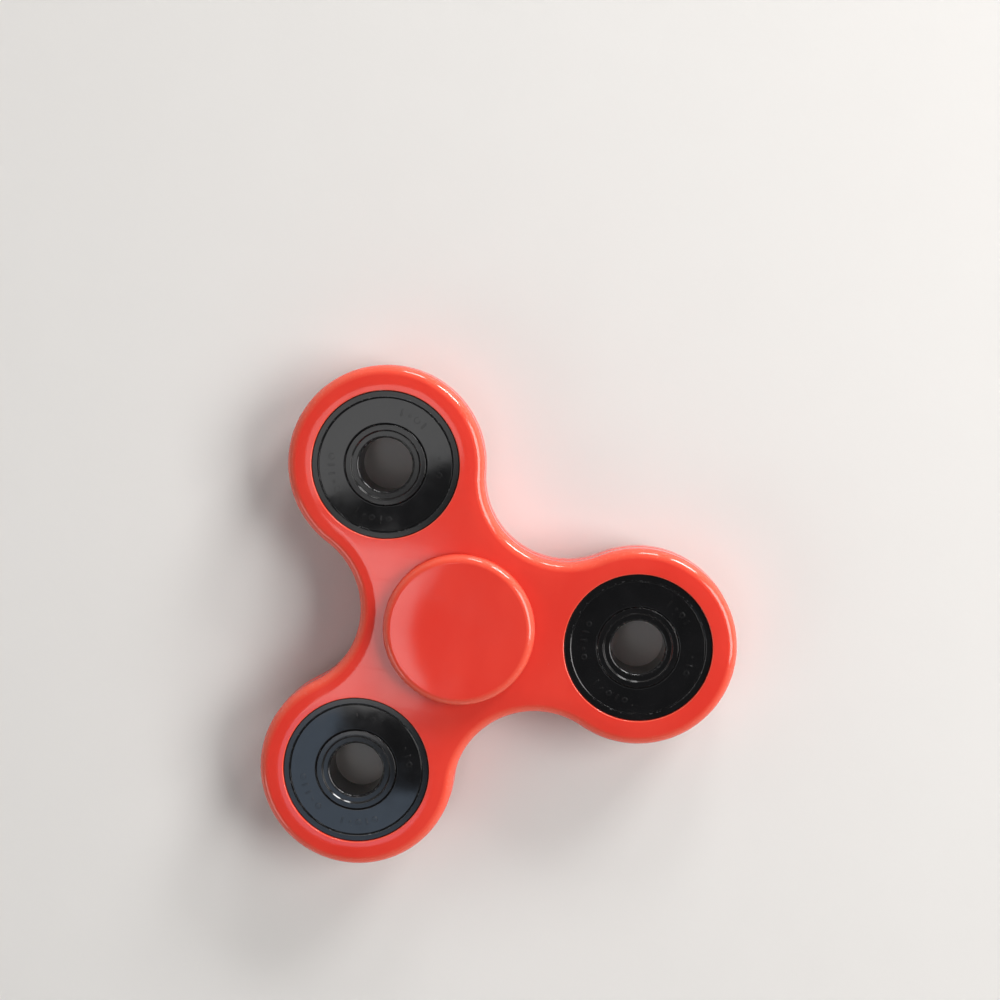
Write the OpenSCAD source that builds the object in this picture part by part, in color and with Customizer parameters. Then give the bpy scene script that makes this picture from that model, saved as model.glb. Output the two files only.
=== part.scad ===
// Fidget spinner. A three-lobed moulded body turns on a ball bearing between two finger caps,
// and carries a sealed ball bearing in each lobe as its weight. Millimetres, +Z up along the
// spin axis, z = 0 on the outer face of the lower cap, the first lobe towards +X.

/* [Body] */
// Distance from the hub's axis to each lobe's axis
lobe_pitch_r = 26.7; // [26.4:0.1:29]
// Plastic wall round each lobe's bearing
lobe_wall = 3.75; // [3:0.05:4.5]
// Distance from the hub's axis to the narrowest point between two lobes
waist_r = 15.1; // [14.2:0.1:16]
// Thickness of the body
body_t = 7.6; // [7.4:0.1:8.4]
// Radius of the body's rounded edges
body_edge_r = 1.6; // [0.8:0.1:2]
// Lead-in chamfer at each mouth of a bearing seat
seat_lead = 0.15; // [0.1:0.05:0.4]

/* [Finger caps] */
// Radius of a cap
cap_r = 11.3; // [10:0.1:12.5]
// Thickness of a cap's plate
cap_t = 1.9; // [1.7:0.1:3]
// Radius of a cap's rounded outer edge
cap_edge_r = 1.3; // [0.6:0.1:1.5]
// Air between a cap and the body's face
cap_gap = 0.4; // [0.3:0.05:0.8]
// How far a cap's stem reaches into the hub bearing
stem_len = 3.2; // [2:0.1:3.3]
// Wall of a cap's hollow stem
stem_wall = 1.3; // [1:0.1:2]

/* [Bearings] */
// Outside diameter of a bearing
bearing_od = 22; // [22:0.1:22.4]
// Bore diameter of a bearing
bearing_bore = 8; // [7.8:0.1:8]
// Width of a bearing
bearing_w = 7; // [7:0.1:7.4]
// Diameter of a ball
ball_d = 3.969; // [3.9:0.001:3.969]
// Balls in each bearing
ball_count = 7; // [5:1:7]
// Play between a ball and its track
ball_play = 0.04; // [0.03:0.01:0.06]

/* [Hidden] */
$fn = 96;
PIECES = concat(
    ["outer_ring", "inner_ring", "cage"],
    [for (i = [1:ball_count]) str("ball_", i)]
);
HUB_COVERS = ["shield_top", "shield_bottom"];
LOBE_COVERS = ["seal_top", "seal_bottom"];
LOBES = ["lobe1", "lobe2", "lobe3"];

// How far a cutting shape runs past the surface that it cuts
over = 1;
// Share of an edge's radius by which its arc stops short of tangent, which leaves a faint crease
crease = 0.005;
// Room round a pressed-in bearing or stem
press_room = 0.02;

lobe_step = 360 / len(LOBES);
mid_z = cap_t + cap_gap + body_t / 2;
half_w = bearing_w / 2;

// A lobe's wall is an arc about the lobe's axis. A waist is an arc about a point outside the
// body, waist_c from the hub's axis. It would just touch both lobes' arcs, and waist_bite
// carries it that far into them, so that the two surfaces cross.
waist_bite = 0.03;
lobe_r = bearing_od / 2 + lobe_wall;
slack = lobe_r - waist_r;
waist_c = (lobe_pitch_r * lobe_pitch_r - slack * slack) / (lobe_pitch_r + 2 * slack);
waist_arc_r = waist_c - waist_r + waist_bite;

// Radial build of a bearing. Each ring is land_w thick beside its track.
land_w = 2;
lip_w = 0.9;
bead_depth = 0.15;
bore_r = bearing_bore / 2;
ring_r = bearing_od / 2;
track_r = (bore_r + ring_r) / 2;
groove_r = ball_d / 2 + ball_play;
inner_land_r = bore_r + land_w;
outer_land_r = ring_r - land_w;
lip_r = ring_r - lip_w;
bead_r = lip_r - bead_depth;
ring_chamfer = 0.15;
// Bevels, each as [width across the face, depth below it]
lip_bevel = [0.3, 0.08];
hub_mouth = [0.75, 0.75];
hub_edge = [0.3, 0.3];
lobe_mouth = [0.3, 0.3];
lobe_edge = [0.6, 0.2];
seal_bevel = [0.4, 0.1];
// Covers sit in a step of the outer ring, sunk below its face, and stay clear of the inner ring
cover_sink = 0.08;
cover_t = 0.8;
cover_low = half_w - cover_sink - cover_t;
cover_room = 0.04;
bead_h = 0.45;
// Radius of the opening that a bearing's lips leave for its covers
lip_in_r = lip_r - lip_bevel[0];
cover_out_r = lip_in_r - cover_room;
shield_t = 0.35;
lip_gap = 0.1;
// The cage is a ring with a pocket for each ball, open on top
cage_in_room = 0.5;
cage_out_room = 0.45;
cage_end_room = 0.12;
cage_in_r = inner_land_r + cage_in_room;
cage_out_r = outer_land_r - cage_out_room;
cage_low = cover_low - cage_end_room;
cage_high = 1.1;
pocket_play = 0.06;
// An inner ring's face, from the bore outwards: a plain one in the hub, and one with a narrow crest
// round a sunk mouth in the lobes
hub_face = [
    [bore_r, half_w - hub_mouth[1]],
    [bore_r + hub_mouth[0], half_w],
    [inner_land_r - hub_edge[0], half_w],
    [inner_land_r, half_w - hub_edge[1]]
];
mouth_sink = 0.2;
crest_w = 0.2;
crest_out_r = inner_land_r - lobe_edge[0];
crest_in_r = crest_out_r - crest_w;
lobe_face = [
    [bore_r, half_w - mouth_sink - lobe_mouth[1]],
    [bore_r + lobe_mouth[0], half_w - mouth_sink],
    [crest_in_r - mouth_sink, half_w - mouth_sink],
    [crest_in_r, half_w],
    [crest_out_r, half_w],
    [inner_land_r, half_w - lobe_edge[1]]
];
// A cap stands on the hub's inner ring alone
shoulder_w = 1.6;
shoulder_r = bore_r + shoulder_w;
stem_chamfer = 0.3;
cap_under_r = 0.3;

// What a profile's corner at the origin loses when it is rounded, the profile lying at -x, -y
module corner_loss(r) {
    centre = -r * (1 - crease);
    difference() {
        translate([centre, centre]) square(over - centre);
        translate([centre, centre]) circle(r);
    }
}

// Section of a disc about the axis, h thick about z = 0, with both its edges rounded
module rounded_disc(r, h, edge_r) {
    difference() {
        translate([0, -h / 2]) square([r, h]);
        for (side = [0, 1]) mirror([0, side]) translate([r, h / 2]) corner_loss(edge_r);
    }
}

// A section's outline from the points of its upper half, given from the axis side outwards,
// with the lower half as their mirror image
function whole(upper) = concat(upper, [
    for (i = [len(upper) - 1:-1:0]) [upper[i][0], -upper[i][1]]
]);

// A point r from the hub's axis, steps lobes round from the first one
function around(r, steps) = [r * cos(steps * lobe_step), r * sin(steps * lobe_step), 0];

// Bearing 0 is the hub's, and bearings 1 to 3 are the lobes'
module at_bearing(i) {
    translate([0, 0, mid_z])
        translate(i == 0 ? [0, 0, 0] : around(lobe_pitch_r, i - 1)) children();
}

// Plan of the body between the axes of its lobes and the centres of its waists
module core_plan() {
    polygon([
        for (i = [0:len(LOBES) - 1], side = [0, 1])
            let (p = around(side == 0 ? lobe_pitch_r : waist_c, i + side / 2)) [p[0], p[1]]
    ]);
}

// Section of the air in a waist, which flares over the body's rounded edges
module waist_air() {
    translate([0, -body_t / 2 - over]) square([waist_arc_r, body_t + 2 * over]);
    for (side = [0, 1])
        mirror([0, side])
            translate([waist_arc_r, body_t / 2])
                mirror([1, 0]) corner_loss(body_edge_r);
}

// A bearing seat with a lead-in at each mouth
module seat() {
    seat_r = ring_r + press_room;
    rotate_extrude()
        polygon(whole([
            [0, body_t / 2 + over],
            [seat_r + seat_lead + over, body_t / 2 + over],
            [seat_r, body_t / 2 - seat_lead]
        ]));
}

module body() {
    color("#e0392e")
        difference() {
            union() {
                translate([0, 0, mid_z]) linear_extrude(body_t, center = true) core_plan();
                for (i = [1:len(LOBES)])
                    at_bearing(i) rotate_extrude() rounded_disc(lobe_r, body_t, body_edge_r);
            }
            for (i = [1:len(LOBES)])
                translate([0, 0, mid_z] + around(waist_c, i - 0.5)) rotate_extrude() waist_air();
            for (i = [0:len(LOBES)]) at_bearing(i) seat();
        }
}

// A cap with its finger face upwards, the bearing's middle plane at z = 0
module finger_cap() {
    plate_z = body_t / 2 + cap_gap;
    stem_r = bore_r - press_room;
    color("#e0392e")
        rotate_extrude()
            difference() {
                union() {
                    translate([0, plate_z])
                        difference() {
                            square([cap_r, cap_t]);
                            translate([cap_r, cap_t]) corner_loss(cap_edge_r);
                            translate([cap_r, 0]) mirror([0, 1]) corner_loss(cap_under_r);
                        }
                    translate([0, half_w]) square([shoulder_r, plate_z - half_w + cap_t / 2]);
                    polygon([
                        [0, half_w + cap_t / 2],
                        [0, half_w - stem_len],
                        [stem_r - stem_chamfer, half_w - stem_len],
                        [stem_r, half_w - stem_len + stem_chamfer],
                        [stem_r, half_w + cap_t / 2]
                    ]);
                }
                translate([-over, -half_w]) square([over + stem_r - stem_wall, plate_z + half_w]);
            }
}

module cap_top() {
    translate([0, 0, mid_z]) finger_cap();
}

module cap_bottom() {
    translate([0, 0, mid_z]) mirror([0, 0, 1]) finger_cap();
}

// The track that the balls run in, as a section of what a ring loses
module track() {
    translate([track_r, 0]) circle(groove_r);
}

// Outer ring: the land by the track, the step that holds a cover, the groove that its bead
// snaps into, and the bevelled lip
module outer_ring(tone) {
    step_top = cover_low + bead_h + cover_room;
    step_low = cover_low - cover_room;
    color(tone)
        rotate_extrude()
            difference() {
                polygon(whole([
                    [outer_land_r, step_low],
                    [bead_r, step_low],
                    [bead_r, step_top],
                    [lip_in_r, step_top],
                    [lip_in_r, half_w - lip_bevel[1]],
                    [lip_r, half_w],
                    [ring_r - ring_chamfer, half_w],
                    [ring_r, half_w - ring_chamfer]
                ]));
                track();
            }
}

// Inner ring with the given face on both its ends
module inner_ring(tone, face) {
    color(tone)
        rotate_extrude()
            difference() {
                polygon(whole(face));
                track();
            }
}

module ball_seat(i) {
    rotate([0, 0, i * 360 / ball_count]) translate([track_r, 0, 0]) children();
}

module cage() {
    color("#d8d2bd")
        difference() {
            translate([0, 0, -cage_low]) cylinder(r = cage_out_r, h = cage_low + cage_high);
            translate([0, 0, -cage_low - over])
                cylinder(r = cage_in_r, h = cage_low + cage_high + 2 * over);
            for (i = [1:ball_count]) ball_seat(i) sphere(ball_d / 2 + pocket_play);
        }
}

module ball(i) {
    color("#c9ccd1") ball_seat(i) sphere(d = ball_d);
}

// Rubber seal: a bead that snaps into the outer ring, and a flat web bevelled at its inner edge
module seal() {
    in_r = inner_land_r + lip_gap;
    bead_out_r = bead_r - cover_room;
    color("#1b1c1e")
        rotate_extrude()
            polygon([
                [in_r, cover_low],
                [bead_out_r, cover_low],
                [bead_out_r, cover_low + bead_h],
                [cover_out_r, cover_low + bead_h],
                [cover_out_r, cover_low + cover_t],
                [in_r + seal_bevel[0], cover_low + cover_t],
                [in_r, cover_low + cover_t - seal_bevel[1]]
            ]);
}

// Steel shield of the hub bearing: a thin plate whose rolled rim holds it in the outer ring
module shield() {
    in_r = inner_land_r + 2 * lip_gap;
    bead_out_r = bead_r - cover_room;
    color("#b9bcc0")
        rotate_extrude()
            polygon([
                [cover_out_r - shield_t, cover_low],
                [bead_out_r, cover_low],
                [bead_out_r, cover_low + bead_h],
                [cover_out_r, cover_low + bead_h],
                [cover_out_r, cover_low + cover_t],
                [in_r, cover_low + cover_t],
                [in_r, cover_low + cover_t - shield_t],
                [cover_out_r - shield_t, cover_low + cover_t - shield_t]
            ]);
}

STEEL = "#c4c7cb";
BLACKENED = "#202226";

body();
cap_top();
cap_bottom();

at_bearing(0) outer_ring(STEEL);  // hub_outer_ring
at_bearing(0) inner_ring(STEEL, hub_face);  // hub_inner_ring
at_bearing(0) cage();  // hub_cage
for (i = [1:ball_count])
    at_bearing(0) ball(i);
at_bearing(0) shield();  // hub_shield_top
at_bearing(0) mirror([0, 0, 1]) shield();  // hub_shield_bottom

for (b = [1:len(LOBES)]) {
    name = LOBES[b - 1];
    at_bearing(b) outer_ring(BLACKENED);
    at_bearing(b) inner_ring(BLACKENED, lobe_face);
    at_bearing(b) cage();
    for (i = [1:ball_count])
        at_bearing(b) ball(i);
    at_bearing(b) seal();
    at_bearing(b) mirror([0, 0, 1]) seal();
}
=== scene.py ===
"""Looks of the fidget spinner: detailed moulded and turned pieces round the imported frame, their
materials, the floor, the lights and the camera. Lengths are in millimetres until they enter Blender."""
import math

import bpy
import numpy as np
from mathutils import Matrix, Quaternion, Vector
from mathutils.geometry import delaunay_2d_cdt


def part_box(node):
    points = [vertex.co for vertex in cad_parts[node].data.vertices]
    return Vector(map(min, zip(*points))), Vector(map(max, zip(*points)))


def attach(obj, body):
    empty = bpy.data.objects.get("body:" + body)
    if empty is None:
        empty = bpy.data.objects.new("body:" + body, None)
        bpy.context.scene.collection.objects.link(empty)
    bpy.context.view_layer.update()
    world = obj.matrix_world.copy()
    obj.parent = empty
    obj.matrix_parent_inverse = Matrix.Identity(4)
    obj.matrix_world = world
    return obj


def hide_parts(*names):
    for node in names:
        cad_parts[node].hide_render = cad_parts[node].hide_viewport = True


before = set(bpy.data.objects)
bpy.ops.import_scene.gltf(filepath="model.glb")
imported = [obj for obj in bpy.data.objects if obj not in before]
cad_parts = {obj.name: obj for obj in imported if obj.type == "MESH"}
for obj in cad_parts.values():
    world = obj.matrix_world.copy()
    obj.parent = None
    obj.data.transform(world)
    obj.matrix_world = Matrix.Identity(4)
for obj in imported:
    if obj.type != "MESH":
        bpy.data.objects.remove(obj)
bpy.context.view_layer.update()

MM = 0.001
LOBES = ("lobe1", "lobe2", "lobe3")
ENDS = ("top", "bottom")


# ---------------------------------------------------------------- sizes, taken from the frame

def box_mm(node):
    low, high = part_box(node)
    return np.array(low) / MM, np.array(high) / MM


BODY_LOW, BODY_HIGH = box_mm("body")
BODY_T = BODY_HIGH[2] - BODY_LOW[2]
MID_Z = (BODY_HIGH[2] + BODY_LOW[2]) / 2
CENTRES = {"hub": np.zeros(2)}
for lobe in LOBES:
    ring_low, ring_high = box_mm(f"{lobe}_outer_ring")
    CENTRES[lobe] = (ring_low[:2] + ring_high[:2]) / 2
RING_R = (ring_high[0] - ring_low[0]) / 2
HALF_W = (ring_high[2] - ring_low[2]) / 2
LOBE_PITCH = float(np.linalg.norm(CENTRES["lobe1"]))
LOBE_R = BODY_HIGH[0] - LOBE_PITCH
CAP_LOW, CAP_HIGH = box_mm("cap_top")
CAP_R = (CAP_HIGH[0] - CAP_LOW[0]) / 2
CAP_TOP = CAP_HIGH[2] - MID_Z
CAP_STEM_END = CAP_LOW[2] - MID_Z
INNER_LOW, INNER_HIGH = box_mm("lobe1_inner_ring")
INNER_R = (INNER_HIGH[0] - INNER_LOW[0]) / 2
SEAL_LOW, SEAL_HIGH = box_mm("lobe1_seal_top")
COVER_LOW = SEAL_LOW[2] - MID_Z
COVER_TOP = SEAL_HIGH[2] - MID_Z

WAIST_R = 15.1          # hub axis to the narrowest point between two lobes
EDGE_R = 1.6            # rounding of the body's outer edges
BORE_R = 4.0            # bore of every bearing
CAP_PLATE = 1.9         # thickness of a cap's plate
CAP_EDGE_R = 1.3        # rounding of a cap's rim
CAP_SHOULDER_R = 5.6    # boss that keeps a cap off the body
STEM_R = BORE_R - 0.02  # outside of a cap's stem
STEM_IN_R = STEM_R - 1.3
ROUND_STEPS = 8         # facets in a quarter turn of a small rounding
TURN_STEPS = 144        # facets round a turned piece
ARC_STEP = 2.5          # degrees between points of the body's outline
FILL_STEP = 1.7         # between the triangles' corners on the body's flat faces
SOFT_R = 4              # a rounding of this radius or more shows no edge wear and no painted edge highlight


# ---------------------------------------------------------------- mesh building

class Shell:
    """Gathers points and faces, with a normal for every corner of every face and an edge value for every
    point, which masks both edge wear and painted edge highlights, and makes one Blender mesh of them."""

    def __init__(self):
        self.points = []
        self.faces = []
        self.normals = []
        self.wear_and_edge_highlight = []

    def add(self, point, wear_and_edge_highlight=0.0):
        self.points.append(tuple(float(c) for c in point))
        self.wear_and_edge_highlight.append(float(wear_and_edge_highlight))
        return len(self.points) - 1

    def face(self, corners, normals):
        self.faces.append(tuple(corners))
        self.normals.extend(tuple(float(c) for c in n) for n in normals)

    def build(self, name, material, at=(0, 0, 0)):
        mesh = bpy.data.meshes.new(name)
        mesh.from_pydata([tuple(c * MM for c in p) for p in self.points], [], self.faces)
        mesh.polygons.foreach_set("use_smooth", [True] * len(mesh.polygons))
        mesh.attributes.new("wear_and_edge_highlight", "FLOAT", "POINT").data.foreach_set("value", self.wear_and_edge_highlight)
        mesh.normals_split_custom_set(self.normals)
        mesh.materials.append(material)
        obj = bpy.data.objects.new(name, mesh)
        obj.location = Vector(at) * MM
        bpy.context.scene.collection.objects.link(obj)
        return obj


def rounded(corners, closed):
    """A profile's points from its corners, each (out, up, radius), with the outside on the right of
    the way along it. Gives (out, up, normal before, normal after, edge value), where the edge value
    rises to 1 on small convex roundings, is 0.5 at a sharp corner and is 0 elsewhere; it masks both
    edge wear and painted edge highlights."""
    count = len(corners)
    spots = [np.array(c[:2], float) for c in corners]

    def side(i):
        """Direction and outward normal of the straight stretch that leaves corner i."""
        step = spots[(i + 1) % count] - spots[i]
        step = step / np.linalg.norm(step)
        return step, np.array([step[1], -step[0]])

    profile = []
    for i, (spot, radius) in enumerate(zip(spots, (c[2] for c in corners))):
        first, last = not closed and i == 0, not closed and i == count - 1
        if first or last:
            normal = side(i if first else i - 1)[1]
            profile.append((*spot, normal, normal, 0.0))
            continue
        way_in, normal_in = side(i - 1)
        way_out, normal_out = side(i)
        if radius == 0:
            profile.append((*spot, normal_in, normal_out, 0.5))
            continue
        turn = math.atan2(way_in[0] * way_out[1] - way_in[1] * way_out[0], way_in @ way_out)
        start = spot - way_in * radius * math.tan(abs(turn) / 2)
        centre = start - normal_in * radius * math.copysign(1, turn)
        steps = max(2, round(ROUND_STEPS * abs(turn) / (math.pi / 2)))
        for k in range(steps + 1):
            angle = turn * k / steps
            spin = np.array([[math.cos(angle), -math.sin(angle)], [math.sin(angle), math.cos(angle)]])
            normal = spin @ normal_in
            place = centre + normal * radius * math.copysign(1, turn)
            edge = math.sin(math.pi * k / steps) if turn > 0 and radius < SOFT_R else 0.0
            profile.append((*place, normal, normal, edge))
    return profile


def sweep(shell, path, profile, closed):
    """Carries a profile round a closed path of (base, direction) pairs. A profile point on a path
    without a base, at no distance from the axis, becomes one point."""
    rings = []
    for out, up, _, _, wear_and_edge_highlight in profile:
        on_axis = abs(out) < 1e-9 and not any(np.any(base) for base, _ in path)
        if on_axis:
            rings.append([shell.add((0, 0, up), wear_and_edge_highlight)] * len(path))
        else:
            rings.append([shell.add((*(base + way * out), up), wear_and_edge_highlight) for base, way in path])
    spans = len(profile) if closed else len(profile) - 1
    for j in range(spans):
        low, high = rings[j], rings[(j + 1) % len(profile)]
        from_n, to_n = profile[j][3], profile[(j + 1) % len(profile)][2]
        for i in range(len(path)):
            k = (i + 1) % len(path)
            corners, normals = [], []
            for ring, spot, normal in ((low, i, from_n), (low, k, from_n), (high, k, to_n), (high, i, to_n)):
                if ring[spot] not in corners:
                    corners.append(ring[spot])
                    normals.append((*(path[spot][1] * normal[0]), normal[1]))
            shell.face(corners, normals)
    return rings


def circle_path(steps=TURN_STEPS):
    turns = [2 * math.pi * i / steps for i in range(steps)]
    return [(np.zeros(2), np.array([math.cos(a), math.sin(a)])) for a in turns]


def turned(name, corners, material, at):
    """A piece of revolution about the vertical line through at, from its section's corners."""
    shell = Shell()
    sweep(shell, circle_path(), rounded(corners, True), True)
    return shell.build(name, material, at)


def flipped(corners):
    """A section turned upside down, still with its outside on the right."""
    return [(out, -up, radius) for out, up, radius in reversed(corners)]


def for_end(corners, end):
    return corners if end == "top" else flipped(corners)


def flipped_profile(profile):
    """The same for a profile that rounded() has made."""
    return [(out, -up, np.array([b[0], -b[1]]), np.array([a[0], -a[1]]), wear_and_edge_highlight)
            for out, up, a, b, wear_and_edge_highlight in reversed(profile)]


# ---------------------------------------------------------------- materials

class Look:
    """A node material round one Principled shader, with short calls for the nodes it uses."""

    def __init__(self, name, roughness, **constants):
        self.material = bpy.data.materials.new(name)
        self.material.use_nodes = True
        self.tree = self.material.node_tree
        self.shader = self.tree.nodes["Principled BSDF"]
        self.shader.inputs["Roughness"].default_value = roughness
        for socket, value in constants.items():
            self.shader.inputs[socket.replace("_", " ")].default_value = value
        self.place = self.node("ShaderNodeTexCoord").outputs["Object"]

    def node(self, kind, **settings):
        made = self.tree.nodes.new(kind)
        for key, value in settings.items():
            setattr(made, key, value)
        return made

    def feed(self, socket, value):
        if isinstance(value, bpy.types.NodeSocket):
            self.tree.links.new(value, socket)
        else:
            socket.default_value = value

    def scaled(self, x, y, z, turn=0.0):
        """The object's own coordinates, stretched and turned about Z, for drawn-out marks."""
        mapping = self.node("ShaderNodeMapping")
        self.feed(mapping.inputs["Vector"], self.place)
        mapping.inputs["Scale"].default_value = (x, y, z)
        mapping.inputs["Rotation"].default_value = (0, 0, turn)
        return mapping.outputs["Vector"]

    def noise(self, size_mm, detail=2.0, place=None):
        """Noise whose features are about size_mm across."""
        made = self.node("ShaderNodeTexNoise")
        self.feed(made.inputs["Vector"], place or self.place)
        made.inputs["Scale"].default_value = 1 / (size_mm * MM)
        made.inputs["Detail"].default_value = detail
        return made.outputs["Fac"]

    def specks(self, spacing_mm, radius):
        """1 inside sparse round specks, one to a cell of spacing_mm, with radius as a share of it."""
        made = self.node("ShaderNodeTexVoronoi", feature="F1")
        self.feed(made.inputs["Vector"], self.place)
        made.inputs["Scale"].default_value = 1 / (spacing_mm * MM)
        return self.ramp(made.outputs["Distance"], radius, radius * 0.6)

    def ramp(self, value, start, end, low=0.0, high=1.0):
        """value mapped from start..end to low..high, and held at the ends."""
        made = self.node("ShaderNodeMapRange", clamp=True)
        for key, number in (("Value", value), ("From Min", start), ("From Max", end),
                            ("To Min", low), ("To Max", high)):
            self.feed(made.inputs[key], number)
        return made.outputs["Result"]

    def math(self, operation, first, second):
        made = self.node("ShaderNodeMath", operation=operation)
        self.feed(made.inputs[0], first)
        self.feed(made.inputs[1], second)
        return made.outputs["Value"]

    def blend(self, share, first, second):
        """A colour share of the way from first to second."""
        made = self.node("ShaderNodeMix", data_type="RGBA")
        self.feed(made.inputs["Factor"], share)
        for socket, tone in (("A", first), ("B", second)):
            self.feed(made.inputs[socket], tone if isinstance(tone, bpy.types.NodeSocket) else (*tone, 1))
        return made.outputs["Result"]

    def mottled(self, value, first, second):
        """Soft patches of two colours, from a noise value."""
        return self.blend(self.ramp(value, 0.35, 0.65), first, second)

    # The edge value from rounded(): it masks both real edge wear and painted edge highlights.
    def wear_and_edge_highlight(self):
        return self.node("ShaderNodeAttribute", attribute_name="wear_and_edge_highlight").outputs["Fac"]

    def radius(self):
        """Distance from the piece's own vertical axis, in metres."""
        flat = self.node("ShaderNodeVectorMath", operation="MULTIPLY")
        self.feed(flat.inputs[0], self.place)
        flat.inputs[1].default_value = (1, 1, 0)
        length = self.node("ShaderNodeVectorMath", operation="LENGTH")
        self.feed(length.inputs[0], flat.outputs["Vector"])
        return length.outputs["Value"]

    def rings(self, size_mm):
        """Noise that changes only with the distance from the axis, as turning and grinding leave."""
        spot = self.node("ShaderNodeCombineXYZ")
        self.feed(spot.inputs["X"], self.radius())
        return self.noise(size_mm, 3.0, spot.outputs["Vector"])

    def relief(self, *layers):
        """Bump from (height, depth in mm) layers, one over the other."""
        normal = None
        for height, depth in layers:
            made = self.node("ShaderNodeBump")
            made.inputs["Distance"].default_value = depth * MM
            self.feed(made.inputs["Height"], height)
            if normal is not None:
                self.feed(made.inputs["Normal"], normal)
            normal = made.outputs["Normal"]
        self.feed(self.shader.inputs["Normal"], normal)

    def colour(self, value):
        self.feed(self.shader.inputs["Base Color"], value)

    def roughness(self, value):
        self.feed(self.shader.inputs["Roughness"], value)


def red_plastic(name, smudge_turn):
    """Glossy moulded plastic: faint flow marks, fine orange peel, handling scratches, dust, and a
    painted highlight of lighter orange on its rounded edges.
    """
    look = Look(name, 0.2, IOR=1.5, Subsurface_Weight=0.08, Subsurface_Scale=0.0006,
                Subsurface_Radius=(1.0, 0.25, 0.15))
    flow = look.noise(9.0, 3.0, look.scaled(1.0, 0.45, 1.0, smudge_turn))
    body = look.mottled(flow, (0.745, 0.041, 0.026), (0.785, 0.052, 0.033))
    # Painted highlight: a lighter orange on the rounded edges, where the edge value is high.
    body = look.blend(look.math("MULTIPLY", look.wear_and_edge_highlight(), 0.7), body, (0.90, 0.135, 0.075))
    rubbed = look.math("MULTIPLY", look.wear_and_edge_highlight(), look.ramp(look.noise(0.45, 4.0), 0.58, 0.66))
    body = look.blend(look.math("MULTIPLY", rubbed, 0.25), body, (0.86, 0.24, 0.17))
    dust = look.math("MULTIPLY", look.specks(2.6, 0.022), look.ramp(look.noise(6.0), 0.5, 0.56))
    look.colour(look.blend(look.math("MULTIPLY", dust, 0.6), body, (0.8, 0.72, 0.66)))
    smudges = look.noise(5.5, 4.0, look.scaled(1.0, 0.6, 1.0, -smudge_turn))
    smudges = look.ramp(smudges, 0.4, 0.7, 0.0, 0.05)
    scratches = look.noise(0.5, 2.0, look.scaled(0.05, 1.6, 1.0, smudge_turn))
    scratches = look.ramp(scratches, 0.66, 0.72, 0.0, 0.12)
    gloss = look.math("ADD", look.math("ADD", smudges, scratches), look.math("MULTIPLY", rubbed, 0.15))
    look.roughness(look.math("ADD", look.math("ADD", gloss, look.math("MULTIPLY", dust, 0.3)), 0.07))
    swells, peel = look.noise(3.0, 1.0), look.noise(0.35, 2.0)
    look.relief((swells, 0.004), (peel, 0.0004), (scratches, 0.0015), (dust, 0.01))
    return look.material


def black_steel(name):
    """Blackened bearing steel: satin, with turning rings and bright wear on its edges."""
    look = Look(name, 0.2, IOR=1.5)
    tone = look.mottled(look.noise(3.0, 3.0), (0.003, 0.0029, 0.0031), (0.005, 0.0048, 0.0053))
    bare = look.math("MULTIPLY", look.wear_and_edge_highlight(), look.ramp(look.noise(0.35, 4.0), 0.56, 0.66))
    look.colour(look.blend(look.math("MULTIPLY", bare, 0.55), tone, (0.2, 0.2, 0.205)))
    look.feed(look.shader.inputs["Metallic"], look.math("MULTIPLY", bare, 0.6))
    look.roughness(look.ramp(look.rings(0.12), 0.3, 0.7, 0.11, 0.17))
    look.relief((look.rings(0.09), 0.0003), (look.noise(0.2, 3.0), 0.0003))
    return look.material


def seal_rubber(name):
    """Moulded black seal: smooth with a slight sheen, fine mould grain, dust in places, and a
    painted highlight that lightens its edges and marks.
    """
    look = Look(name, 0.25, IOR=1.5)
    tone = look.mottled(look.noise(4.0, 3.0), (0.003, 0.003, 0.0033), (0.005, 0.0049, 0.0054))
    dust = look.math("MULTIPLY", look.specks(1.5, 0.03), look.ramp(look.noise(3.5), 0.52, 0.58))
    # Painted highlight: lighter edges on the seal and its marks, where the edge value is high.
    tone = look.blend(look.math("MULTIPLY", look.wear_and_edge_highlight(), 0.8), tone, (0.03, 0.03, 0.031))
    look.colour(look.blend(look.math("MULTIPLY", dust, 0.45), tone, (0.4, 0.38, 0.35)))
    haze = look.ramp(look.noise(3.2, 4.0), 0.38, 0.68, 0.05, 0.09)
    look.roughness(look.math("ADD", haze, look.math("MULTIPLY", dust, 0.4)))
    look.relief((look.noise(0.2, 2.0), 0.0002), (look.noise(4.0, 1.0), 0.004), (dust, 0.006))
    return look.material


def ground_steel(name, tone, roughness):
    """Bare ground steel with concentric grinding and a film of oil."""
    look = Look(name, roughness, Metallic=1.0)
    film = look.ramp(look.noise(3.0, 3.0), 0.3, 0.7)
    look.colour(look.blend(film, tuple(c * 0.92 for c in tone), tone))
    look.roughness(look.ramp(look.rings(0.1), 0.3, 0.7, roughness - 0.06, roughness + 0.08))
    look.relief((look.rings(0.08), 0.001), (look.noise(0.3, 2.0), 0.0008))
    return look.material


def polished_ball(name):
    """Lapped ball steel: near mirror, with the faintest haze of grease."""
    look = Look(name, 0.06, Metallic=1.0)
    film = look.ramp(look.noise(1.2, 3.0), 0.35, 0.65)
    look.colour(look.blend(film, (0.70, 0.71, 0.73), (0.77, 0.78, 0.80)))
    look.roughness(look.ramp(film, 0, 1, 0.04, 0.1))
    look.relief((look.noise(0.4, 2.0), 0.0003))
    return look.material


def nylon(name):
    """Natural nylon: waxy, slightly translucent, finely grained."""
    look = Look(name, 0.45, IOR=1.53, Subsurface_Weight=0.3, Subsurface_Scale=0.001,
                Subsurface_Radius=(1.0, 0.9, 0.6))
    look.colour(look.mottled(look.noise(2.0, 3.0), (0.66, 0.62, 0.47), (0.72, 0.68, 0.54)))
    look.roughness(look.ramp(look.noise(0.6, 3.0), 0.3, 0.7, 0.38, 0.52))
    look.relief((look.noise(0.12, 3.0), 0.003))
    return look.material


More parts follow.
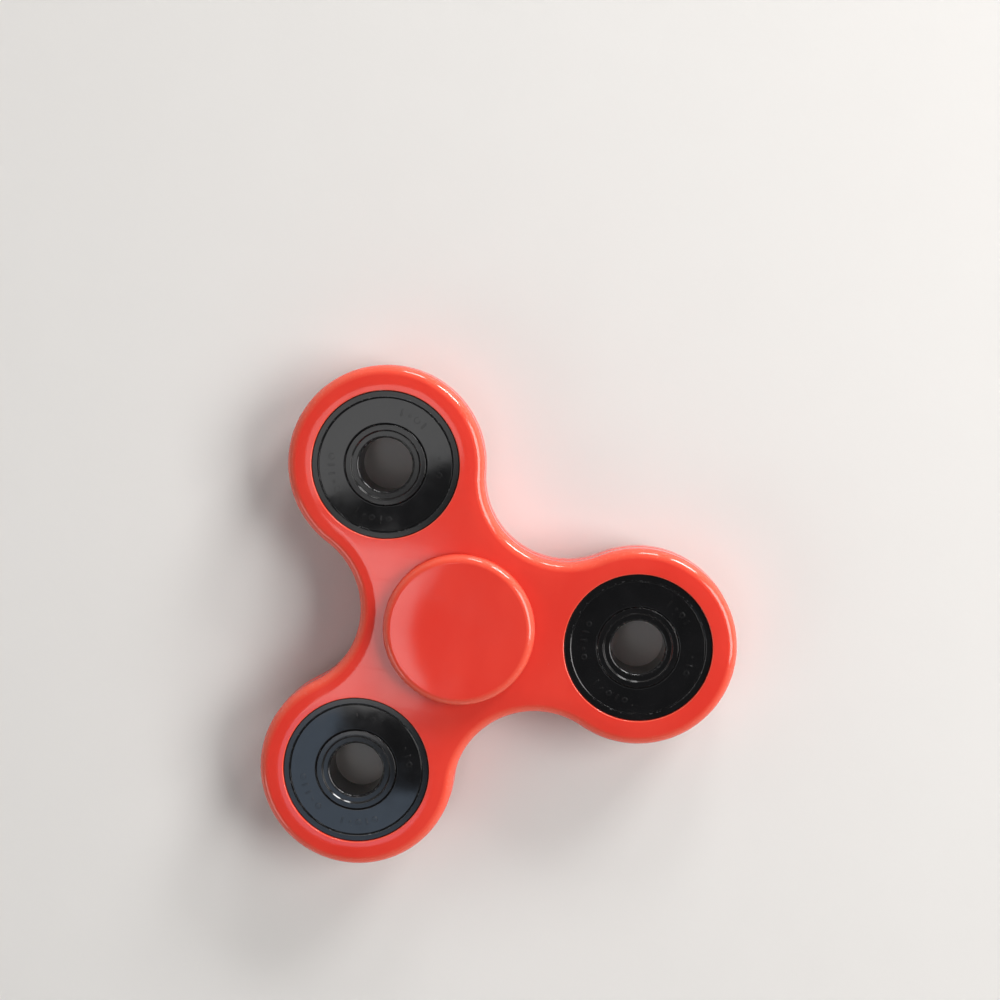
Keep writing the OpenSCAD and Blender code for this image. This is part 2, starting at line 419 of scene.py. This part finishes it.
def painted_board(name, glow, glow_from, glow_to):
    """Matt pale board with the slightest unevenness, that glows more and more with height: painted
    light, not from a lamp, that brightens the wall.
    """
    look = Look(name, 0.6, IOR=1.45, Emission_Color=(1.0, 0.985, 0.965, 1))
    look.colour(look.blend(look.noise(60.0, 3.0), (0.78, 0.765, 0.74), (0.80, 0.787, 0.765)))
    look.roughness(look.ramp(look.noise(8.0, 3.0), 0.3, 0.7, 0.52, 0.66))
    look.relief((look.noise(1.2, 3.0), 0.01))
    parts = look.node("ShaderNodeSeparateXYZ")
    look.feed(parts.inputs["Vector"], look.place)
    # Painted light: the board glows from nothing at glow_from up to glow at glow_to and above.
    strength = look.ramp(parts.outputs["Z"], glow_from * MM, glow_to * MM, 0.0, glow)
    look.feed(look.shader.inputs["Emission Strength"], strength)
    return look.material


# ---------------------------------------------------------------- body

# Between two lobes the outline is one arc that touches both: its centre's distance from the hub
# axis and its radius, then half the angle that a lobe's arc and a waist's arc each span
WAIST_SLACK = LOBE_R - WAIST_R
WAIST_C = (LOBE_PITCH ** 2 - WAIST_SLACK ** 2) / (LOBE_PITCH + 2 * WAIST_SLACK)
WAIST_ARC_R = WAIST_C - WAIST_R
LOBE_ARC = math.atan2(WAIST_C * math.sin(math.pi / 3), WAIST_C * math.cos(math.pi / 3) - LOBE_PITCH)
WAIST_ARC = LOBE_ARC - math.pi / 3
PARTING_W = 0.12        # half the width of the ridge that the mould's two halves leave
PARTING_H = 0.035
CROWN_W = 2.6           # how far in from the outline a face falls away towards its edge
CROWN_H = 0.2           # how far it falls
CROWN_BLEND = 12        # radius that eases the flat into the fall
FLAT_FROM = CROWN_W + 0.5
SEAT_R = RING_R + 0.02
SEAT_LEAD = 0.15        # rounding at a bearing seat's mouth
MOUTH_R = SEAT_R + SEAT_LEAD + 0.15
PIN_R = 0.8             # ejector pins' marks in the lower face
PIN_EDGE = 0.2
PIN_DEPTH = 0.12
PIN_SPOT = (14, math.radians(22))   # the first mark's distance and angle from the hub axis


def polar(radius, angle):
    return np.array([radius * math.cos(angle), radius * math.sin(angle)])


def outline_path():
    """The body's widest outline as (point, outward direction) pairs, anticlockwise."""
    path = []
    for i in range(len(LOBES)):
        middle = 2 * math.pi * i / len(LOBES)
        steps = round(math.degrees(2 * LOBE_ARC) / ARC_STEP)
        for k in range(steps + 1):
            way = polar(1, middle - LOBE_ARC + 2 * LOBE_ARC * k / steps)
            path.append((polar(LOBE_PITCH, middle) + way * LOBE_R, way))
        middle += math.pi / len(LOBES)
        steps = round(math.degrees(2 * WAIST_ARC) / ARC_STEP)
        for k in range(1, steps):
            way = polar(1, middle + WAIST_ARC - 2 * WAIST_ARC * k / steps)
            path.append((polar(WAIST_C, middle) - way * WAIST_ARC_R, way))
    return path


def side_corners():
    """The outer wall's profile from the lower face to the upper one, as distances from the outline."""
    half = BODY_T / 2
    return [
        (-FLAT_FROM, -half, 0),
        (-CROWN_W, -half, CROWN_BLEND),
        (0, -half + CROWN_H, EDGE_R),
        (0, -PARTING_W, 0.04),
        (PARTING_H, -PARTING_W / 2, 0.02),
        (PARTING_H, PARTING_W / 2, 0.02),
        (0, PARTING_W, 0.04),
        (0, half - CROWN_H, EDGE_R),
        (-CROWN_W, half, CROWN_BLEND),
        (-FLAT_FROM, half, 0),
    ]


def seat_corners():
    """A bearing seat's wall from the upper face to the lower one."""
    half = BODY_T / 2
    return [
        (MOUTH_R, half, 0),
        (SEAT_R, half, SEAT_LEAD),
        (SEAT_R, -half, SEAT_LEAD),
        (MOUTH_R, -half, 0),
    ]


def fill_face(shell, outer, holes, height, up):
    """Fills a flat face between an outer loop and round holes with even triangles. outer and each
    hole are lists of point numbers; a hole comes with its centre and radius."""
    loops = [outer] + [hole[0] for hole in holes]
    known = [i for loop in loops for i in loop]
    spots = [np.array(shell.points[i][:2]) for i in known]
    edges, start = [], 0
    for loop in loops:
        edges += [(start + k, start + (k + 1) % len(loop)) for k in range(len(loop))]
        start += len(loop)
    rim = np.array(spots)
    outline = rim[:len(outer)]
    reach = LOBE_PITCH + LOBE_R
    grid = []
    for row, y in enumerate(np.arange(-reach, reach, FILL_STEP * math.sqrt(3) / 2)):
        for x in np.arange(-reach + (row % 2) * FILL_STEP / 2, reach, FILL_STEP):
            spot = np.array([x, y])
            if np.min(np.linalg.norm(rim - spot, axis=1)) > 0.8 * FILL_STEP and inside(outline, spot):
                grid.append(spot)
    flat = [Vector(p) for p in spots + grid]
    made, _, triangles, kept, _, _ = delaunay_2d_cdt(flat, edges, [], 1, 1e-7)
    numbers = []
    for spot, source in zip(made, kept):
        first = min(source)
        numbers.append(known[first] if first < len(known) else shell.add((spot.x, spot.y, height)))
    for triangle in triangles:
        middle = sum((np.array(made[k]) for k in triangle), np.zeros(2)) / 3
        if any(np.linalg.norm(middle - centre) < radius for _, centre, radius in holes):
            continue
        if not inside(outline, middle):
            continue
        a, b, c = (np.array(made[k]) for k in triangle)
        turn = (b - a)[0] * (c - a)[1] - (b - a)[1] * (c - a)[0]
        corners = [numbers[k] for k in triangle]
        if (turn > 0) != up:
            corners.reverse()
        shell.face(corners, [(0, 0, 1 if up else -1)] * 3)


def inside(outline, spot):
    """Whether a spot is inside a closed outline, by counting crossings."""
    nxt = np.roll(outline, -1, axis=0)
    crosses = (outline[:, 1] > spot[1]) != (nxt[:, 1] > spot[1])
    if not crosses.any():
        return False
    a, b = outline[crosses], nxt[crosses]
    x = a[:, 0] + (spot[1] - a[:, 1]) * (b[:, 0] - a[:, 0]) / (b[:, 1] - a[:, 1])
    return bool((x > spot[0]).sum() % 2)


def pin_mark(shell, centre, height):
    """A shallow round mark sunk upwards into the lower face. Gives its rim for fill_face."""
    path = [(centre, way) for _, way in circle_path(32)]
    corners = [
        (PIN_R * 0.5, height + PIN_DEPTH, 0),
        (PIN_R - 0.08, height + PIN_DEPTH, 0.05),
        (PIN_R, height, 0.06),
        (PIN_R + PIN_EDGE, height, 0),
    ]
    rings = sweep(shell, path, rounded(corners, False), False)
    middle = shell.add((*centre, height + PIN_DEPTH))
    inner = rings[0]
    for i in range(len(inner)):
        shell.face([middle, inner[(i + 1) % len(inner)], inner[i]], [(0, 0, -1)] * 3)
    return rings[-1], centre, PIN_R + PIN_EDGE


def make_body(material):
    shell = Shell()
    half = BODY_T / 2
    walls = sweep(shell, outline_path(), rounded(side_corners(), False), False)
    upper, lower = [], []
    for centre in CENTRES.values():
        path = [(centre, way) for _, way in circle_path()]
        rings = sweep(shell, path, rounded(seat_corners(), False), False)
        upper.append((rings[0], centre, MOUTH_R))
        lower.append((rings[-1], centre, MOUTH_R))
    for i in range(len(LOBES)):
        spot = polar(PIN_SPOT[0], PIN_SPOT[1] + 2 * math.pi * i / len(LOBES))
        lower.append(pin_mark(shell, spot, -half))
    fill_face(shell, walls[-1], upper, half, True)
    fill_face(shell, walls[0], lower, -half, False)
    return shell.build("body_moulded", material, (0, 0, MID_Z))


# ---------------------------------------------------------------- caps

DISH = 0.10             # how far a cap's finger face is hollowed
DISH_R = 9.5
DISH_STEPS = 12


def make_cap(end, material):
    """A finger cap: hollowed face, rounded rim, shoulder and hollow stem."""
    plate_low = CAP_TOP - CAP_PLATE
    face = []
    for k in range(DISH_STEPS + 1):
        out = DISH_R * k / DISH_STEPS
        up = CAP_TOP - DISH * (1 + math.cos(math.pi * out / DISH_R)) / 2
        slope = DISH * math.pi / (2 * DISH_R) * math.sin(math.pi * out / DISH_R)
        normal = np.array([-slope, 1.0]) / math.hypot(slope, 1)
        face.append((out, up, normal, normal, 0.0))
    corners = [
        (0, plate_low, 0),
        (STEM_IN_R, plate_low, 0.2),
        (STEM_IN_R, CAP_STEM_END, 0.25),
        (STEM_R, CAP_STEM_END, 0.3),
        (STEM_R, HALF_W, 0),
        (CAP_SHOULDER_R, HALF_W, 0.1),
        (CAP_SHOULDER_R, plate_low, 0.25),
        (CAP_R, plate_low, 0.3),
        (CAP_R, CAP_TOP, CAP_EDGE_R),
        (DISH_R + 0.05, CAP_TOP, 0),
    ]
    profile = rounded(corners, False) + face[::-1]
    if end == "bottom":
        profile = flipped_profile(profile)
    shell = Shell()
    sweep(shell, circle_path(), profile, False)
    return shell.build(f"cap_{end}_moulded", material, (0, 0, MID_Z))


# ---------------------------------------------------------------- lobe bearings

LIP_R = RING_R - 0.9    # where an outer ring's flat lip ends
LIP_BEVEL_W = 0.18      # the bevel from the lip down to the seal
LIP_BEVEL_H = 0.08
LIP_IN_R = LIP_R - LIP_BEVEL_W
BEAD_R = LIP_R - 0.15   # the groove that holds a seal's bead
BEAD_H = 0.45
ROOM = 0.04             # between a seal and its seat
OUTER_LAND_R = RING_R - 2
CREST_OUT_R = INNER_R - 0.6     # the narrow crest on an inner ring's face
CREST_IN_R = INNER_R - 0.8
CREST_H = 0.01          # fall from the crest to the ring's outer edge
MOUTH_SINK = 0.2        # fall from the crest to the flat round the bore
SEAL_GAP = 0.1          # between a seal and the inner ring
SEAL_BEVEL_W = 0.15
SEAL_BEVEL_H = 0.05
TRACK_R = 7.5           # hub axis of a bearing to its balls' centres
GROOVE_R = 2.0245       # section radius of the groove that the balls run in


def track(land_r, facing, steps=12):
    """The balls' groove in a ring, from its upper edge on the land to its lower one."""
    turn = math.acos((land_r - TRACK_R) * facing / GROOVE_R)
    return [(TRACK_R + facing * GROOVE_R * math.cos(a), GROOVE_R * math.sin(a), 0)
            for a in np.linspace(turn, -turn, steps + 1)]


def both_halves(upper, groove):
    """A ring's whole section, anticlockwise, from its upper half's corners, given from the side that
    the groove is on, and the groove's own corners from the upper edge to the lower one."""
    return [(out, -up, radius) for out, up, radius in upper] + upper[::-1] + groove


def make_outer_ring(lobe, material):
    upper = [
        (OUTER_LAND_R, COVER_LOW - ROOM, 0.08),
        (BEAD_R, COVER_LOW - ROOM, 0.05),
        (BEAD_R, COVER_LOW + BEAD_H + ROOM, 0.05),
        (LIP_IN_R, COVER_LOW + BEAD_H + ROOM, 0.06),
        (LIP_IN_R, HALF_W - LIP_BEVEL_H, 0.04),
        (LIP_R, HALF_W, 0.5),
        (RING_R, HALF_W, 0.14),
    ]
    corners = both_halves(upper, track(OUTER_LAND_R, 1))
    return turned(f"{lobe}_outer_ring_turned", corners, material, (*CENTRES[lobe], MID_Z))


def make_inner_ring(lobe, material):
    upper = [
        (INNER_R, HALF_W - CREST_H, 0.1),
        (CREST_OUT_R, HALF_W, 0.3),
        (CREST_IN_R, HALF_W, 0.12),
        (CREST_IN_R - MOUTH_SINK, HALF_W - MOUTH_SINK, 0.12),
        (BORE_R, HALF_W - MOUTH_SINK, 0.35),
    ]
    lower = [(out, -up, radius) for out, up, radius in upper]
    corners = upper + lower[::-1] + track(INNER_R, -1)[::-1]
    return turned(f"{lobe}_inner_ring_turned", corners, material, (*CENTRES[lobe], MID_Z))


def seal_corners():
    """A seal's section: bead, flat web and bevelled inner edge."""
    in_r, bead_r, web_r = INNER_R + SEAL_GAP, BEAD_R - ROOM, LIP_IN_R - ROOM
    return [
        (in_r, COVER_LOW, 0.06),
        (bead_r, COVER_LOW, 0.1),
        (bead_r, COVER_LOW + BEAD_H, 0.1),
        (web_r, COVER_LOW + BEAD_H, 0.05),
        (web_r, COVER_TOP, 0.04),
        (in_r + SEAL_BEVEL_W, COVER_TOP, 0.2),
        (in_r, COVER_TOP - SEAL_BEVEL_H, 0.04),
    ]


# Generic moulded marks round a seal, in place of lettering: (angle in degrees, the group's marks)
MARK_GROUPS = (
    (34, ("bar", "ring", "dot", "bar")),
    (160, ("ring", "bar", "bar", "dot", "ring")),
    (226, ("bar", "dot", "ring", "bar", "ring")),
    (338, ("ring", "bar", "dot")),
)
MARK_SHAPES = {"bar": (1.0, 0.24, 0), "dot": (0.36, 0.36, 0), "ring": (0.86, 0.86, 0.22)}
MARK_R = 8.1
MARK_H = 0.07
MARK_STEP = 9.0         # degrees from one mark of a group to the next
MARK_TURN = 17          # degrees from one bearing's groups to the next bearing's


def bar_path(centre, turn, length, width, steps=16):
    """A closed path round a small bar with round ends, as (spine point, outward direction) pairs."""
    along = polar(1, turn)
    path = []
    for k in range(steps):
        angle = 2 * math.pi * (k + 0.5) / steps
        reach = (length - width) / 2 * math.copysign(1, math.cos(angle))
        path.append((centre + along * reach, polar(1, turn + angle)))
    return path


def add_mark(shell, kind, centre, turn, end):
    """One small raised mark on a seal's face: a bar, a dot or a ring."""
    length, width, hollow = MARK_SHAPES[kind]
    half, foot, top = width / 2, COVER_TOP - 0.03, COVER_TOP + MARK_H
    corners = [(hollow, foot, 0), (half + 0.03, foot, 0), (half - 0.02, top, 0.03), (hollow, top, 0)]
    path = bar_path(centre, turn, length, width)
    if hollow:
        sweep(shell, path, rounded(for_end(corners, end), True), True)
        return
    profile = rounded(corners, False)
    if end == "bottom":
        profile = flipped_profile(profile)
    rings = sweep(shell, path, profile, False)
    sign = 1 if end == "top" else -1
    low, high = (rings[0], rings[-1]) if end == "top" else (rings[-1], rings[0])
    shell.face(high[::sign], [(0, 0, sign)] * len(high))
    shell.face(low[::-sign], [(0, 0, -sign)] * len(low))


def make_seal(lobe, end, material, turn):
    shell = Shell()
    sweep(shell, circle_path(), rounded(for_end(seal_corners(), end), True), True)
    for start, kinds in MARK_GROUPS:
        for k, kind in enumerate(kinds):
            angle = math.radians(start + turn + MARK_STEP * k)
            add_mark(shell, kind, polar(MARK_R, angle), angle, end)
    return shell.build(f"{lobe}_seal_{end}_moulded", material, (*CENTRES[lobe], MID_Z))


# ---------------------------------------------------------------- putting the object together

def place(piece, node, body, slot):
    """Stands a detailed piece in for its CAD node, on that node's body. The slot argument is not used."""
    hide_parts(node)
    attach(piece, body)


def dress_outer_pieces():
    """Detailed pieces in place of the CAD nodes that show."""
    body_red = red_plastic("body_plastic", 0.4)
    cap_red = red_plastic("cap_plastic", 1.3)
    black = black_steel("black_ring_steel")
    rubber = seal_rubber("seal_rubber")
    place(make_body(body_red), "body", "rotor", "body_plastic")
    for end in ENDS:
        place(make_cap(end, cap_red), f"cap_{end}", "hub", "cap_plastic")
    for i, lobe in enumerate(LOBES):
        place(make_outer_ring(lobe, black), f"{lobe}_outer_ring", "rotor", "black_ring_steel")
        place(make_inner_ring(lobe, black), f"{lobe}_inner_ring", f"{lobe}_inner", "black_ring_steel")
        for end in ENDS:
            seal = make_seal(lobe, end, rubber, MARK_TURN * i)
            place(seal, f"{lobe}_seal_{end}", "rotor", "seal_rubber")


def dress_inner_pieces():
    """Materials for the CAD nodes that stay: balls, cages, and the hub bearing's rings and shields."""
    looks = {
        "ball": polished_ball("ball_steel"),
        "cage": nylon("cage_plastic"),
        "shield": ground_steel("shield_steel", (0.50, 0.51, 0.52), 0.3),
        "ring": ground_steel("ring_steel", (0.56, 0.57, 0.58), 0.22),
    }
    for name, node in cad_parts.items():
        kind = next((k for k in looks if f"_{k}" in name), None)
        if kind and not node.hide_render:
            for slot in node.material_slots:
                slot.material = looks[kind]


# ---------------------------------------------------------------- floor, lights and camera

FLOOR_R = 1000
WALL_R = 1400
WALL_TOP = 900


def make_stage():
    """A round pale floor that curves up into a glowing wall all the way round."""
    shell = Shell()
    corners = [(WALL_R, WALL_TOP, 0), (WALL_R, 0, WALL_R - FLOOR_R), (0, 0, 0)]
    sweep(shell, circle_path(), rounded(corners, False), False)
    shell.build("studio_floor", painted_board("studio_board", 0.22, 0, 350))


def panel(name, at, target, size, power, colour=(1, 1, 1), turn=0.0):
    """A rectangular softbox, in millimetres and watts, turned about its own axis, that the camera
    doesn't see directly."""
    light = bpy.data.lights.new(name, "AREA")
    light.shape = "RECTANGLE"
    light.size, light.size_y = (s * MM for s in size)
    light.energy = power
    light.color = colour
    lamp = bpy.data.objects.new(name, light)
    lamp.location = Vector(at) * MM
    facing = Vector(target) - Vector(at)
    lamp.rotation_euler = (facing.to_track_quat("-Z", "Y") @ Quaternion((0, 0, 1), turn)).to_euler()
    lamp.visible_camera = False
    bpy.context.scene.collection.objects.link(lamp)


CAMERA_AT = (12.07, 39.69, 237.64)
CAMERA_TO = (4.06, 19.73, 9.6)
CAMERA_TURN = math.radians(5.9)     # anticlockwise, from +Y upwards in the picture
LENS = 55.8


def make_camera():
    camera = bpy.data.cameras.new("camera")
    camera.lens = LENS
    camera.sensor_width = 36
    camera.clip_start = 0.01
    camera.clip_end = 20
    eye = bpy.data.objects.new("camera", camera)
    bpy.context.scene.collection.objects.link(eye)
    eye.location = Vector(CAMERA_AT) * MM
    back = (Vector(CAMERA_AT) - Vector(CAMERA_TO)).normalized()
    up = (Vector((0, 1, 0)) - back * back.y).normalized()
    right = up.cross(back)
    turned_up = up * math.cos(CAMERA_TURN) - right * math.sin(CAMERA_TURN)
    turned_right = right * math.cos(CAMERA_TURN) + up * math.sin(CAMERA_TURN)
    axes = np.array([turned_right, turned_up, back]).T
    eye.rotation_euler = Matrix(axes.tolist()).to_euler()
    bpy.context.scene.camera = eye


CEILING = 330
# Small panels that the flat faces mirror: (name, x, y, size, radiance, colour, turn in degrees)
WINDOWS = (
    ("window_upper", -56.7, 12.8, (72, 40), 1.8, (1.0, 1.0, 1.0), 22),
    ("window_middle", -54, -58, (52, 60), 3.06, (1.0, 0.98, 0.98), 0),
    ("window_lower_left", -70, -111.3, (26, 68), 1.71, (0.60, 0.77, 1.0), 0),
    ("window_lower_right", -40, -131.3, (34, 28), 1.71, (0.60, 0.77, 1.0), 0),
)


def make_lights():
    middle = (0, 0, MID_Z)
    for name, x, y, size, radiance, colour, turn in WINDOWS:
        power = math.pi * radiance * size[0] * size[1] * MM * MM
        panel(name, (x, y, CEILING), (x, y, 0), size, power, colour, math.radians(turn))
    panel("key", (658, 128, 530), middle, (600, 380), 5.6, (1.0, 0.975, 0.965))
    panel("side_upper_right", (403, 645, 247), middle, (245, 162), 3.7)
    panel("side_top", (80, 757, 247), middle, (176, 122), 1.5)
    panel("fill", (-500, -420, 330), middle, (300, 200), 0.4)
    world = bpy.data.worlds.new("studio")
    world.use_nodes = True
    sky = world.node_tree.nodes["Background"]
    sky.inputs["Color"].default_value = (0.95, 0.97, 1.0, 1)
    sky.inputs["Strength"].default_value = 0.11
    bpy.context.scene.world = world
    bpy.context.scene.view_settings.view_transform = "Standard"


dress_outer_pieces()
dress_inner_pieces()
make_stage()
make_lights()
make_camera()
